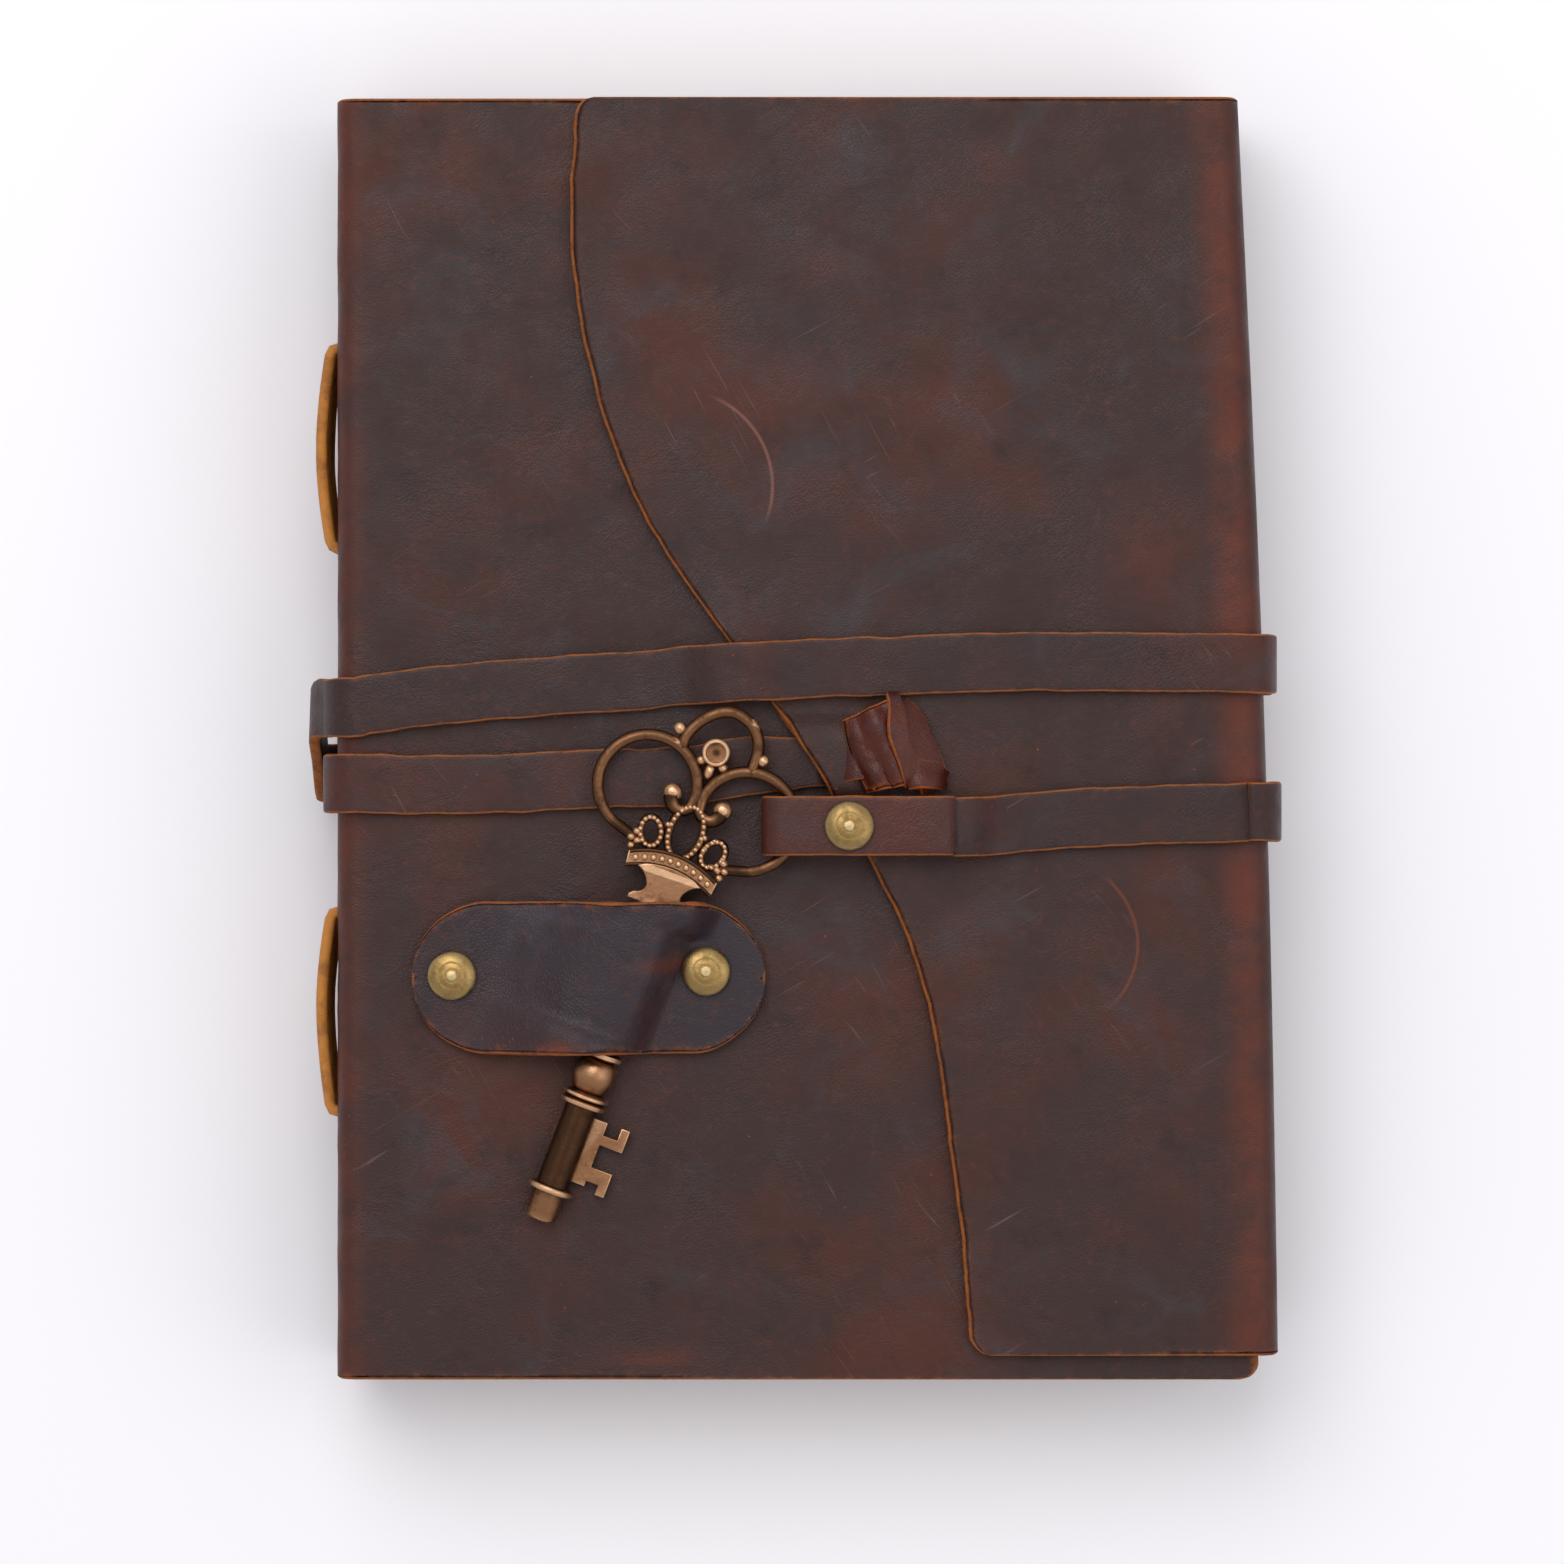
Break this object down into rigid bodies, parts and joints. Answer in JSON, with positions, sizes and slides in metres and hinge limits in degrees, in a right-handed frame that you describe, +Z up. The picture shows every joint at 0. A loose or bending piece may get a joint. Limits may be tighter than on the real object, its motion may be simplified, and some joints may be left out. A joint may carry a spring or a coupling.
{
  "type": "leather notebook",
  "caption": "Handmade leather wrap journal with sewn signatures, closed by a long strap whose end holds an antique key under a riveted patch.",
  "frame": {"origin": "middle of the journal's box, on the table that it lies on", "axes": "+X from the spine to the fore edge, +Y to the head, +Z up out of the front cover"},
  "size_m": [0.1356, 0.178, 0.0365],
  "materials": {
    "dark_leather": "oiled, worn",
    "strap_leather": "oiled",
    "patch_leather": "oiled",
    "paper": "rough handmade",
    "lacing": "natural tan",
    "brass": "aged",
    "bronze": "antiqued"
  },
  "bodies": {
    "book": {"back_cover": "dark_leather", "spine": "dark_leather", "signature_1": "paper", "signature_2": "paper", "signature_3": "paper", "signature_4": "paper", "stitch_head_1": "lacing", "stitch_head_2": "lacing", "stitch_head_3": "lacing", "stitch_head_4": "lacing", "stitch_head_5": "lacing", "stitch_head_6": "lacing", "stitch_tail_1": "lacing", "stitch_tail_2": "lacing", "stitch_tail_3": "lacing", "stitch_tail_4": "lacing", "stitch_tail_5": "lacing", "stitch_tail_6": "lacing", "strap_winding": "strap_leather"},
    "front_cover": {"front_cover": "dark_leather", "key_patch": "patch_leather", "patch_rivet_left_cap": "brass", "patch_rivet_left_back": "brass", "patch_rivet_right_cap": "brass", "patch_rivet_right_back": "brass"},
    "leaf_lower": {"signature_5": "paper"},
    "leaf_upper": {"signature_6": "paper"},
    "flap_wall": {"flap_fore_edge": "dark_leather"},
    "flap": {"flap_panel": "dark_leather", "strap_knot": "strap_leather"},
    "key": {"key": "bronze", "strap_key_loop": "strap_leather", "strap_rivet_cap": "brass", "strap_rivet_back": "brass"}
  },
  "joints": [
    {"name": "cover_open", "type": "hinge", "parent": "book", "child": "front_cover", "pos_m": [-0.06358, -0.00003, 0.0275], "axis": [0, -1, 0], "range_deg": [0, 190], "deforming": ["strap_winding"]},
    {"name": "leaf_lower_turn", "type": "hinge", "parent": "book", "child": "leaf_lower", "pos_m": [-0.06358, -0.00003, 0.0275], "axis": [0, -1, 0], "range_deg": [0, 177]},
    {"name": "leaf_upper_turn", "type": "hinge", "parent": "book", "child": "leaf_upper", "pos_m": [-0.06358, -0.00003, 0.0275], "axis": [0, -1, 0], "range_deg": [0, 185]},
    {"name": "flap_open", "type": "hinge", "parent": "book", "child": "flap_wall", "pos_m": [0.06449, -0.00003, 0.0042], "axis": [-0.0324, 0.9995, 0], "range_deg": [0, 88]},
    {"name": "flap_fold", "type": "hinge", "parent": "flap_wall", "child": "flap", "pos_m": [0.06449, -0.00003, 0.0298], "axis": [-0.0324, 0.9995, 0], "range_deg": [0, 88], "deforming": ["flap_panel", "strap_knot"]},
    {"name": "key_slide", "type": "slide", "parent": "front_cover", "child": "key", "axis": [0.3551, 0.9348, 0], "range_m": [0, 0.05], "deforming": ["key_patch"]}
  ],
  "couplings": [
    {"joint": "leaf_lower_turn", "follows": "cover_open", "ratio": 0.93},
    {"joint": "leaf_upper_turn", "follows": "cover_open", "ratio": 0.97},
    {"joint": "flap_open", "follows": "cover_open", "ratio": 0.463},
    {"joint": "flap_fold", "follows": "cover_open", "ratio": 0.463}
  ]
}
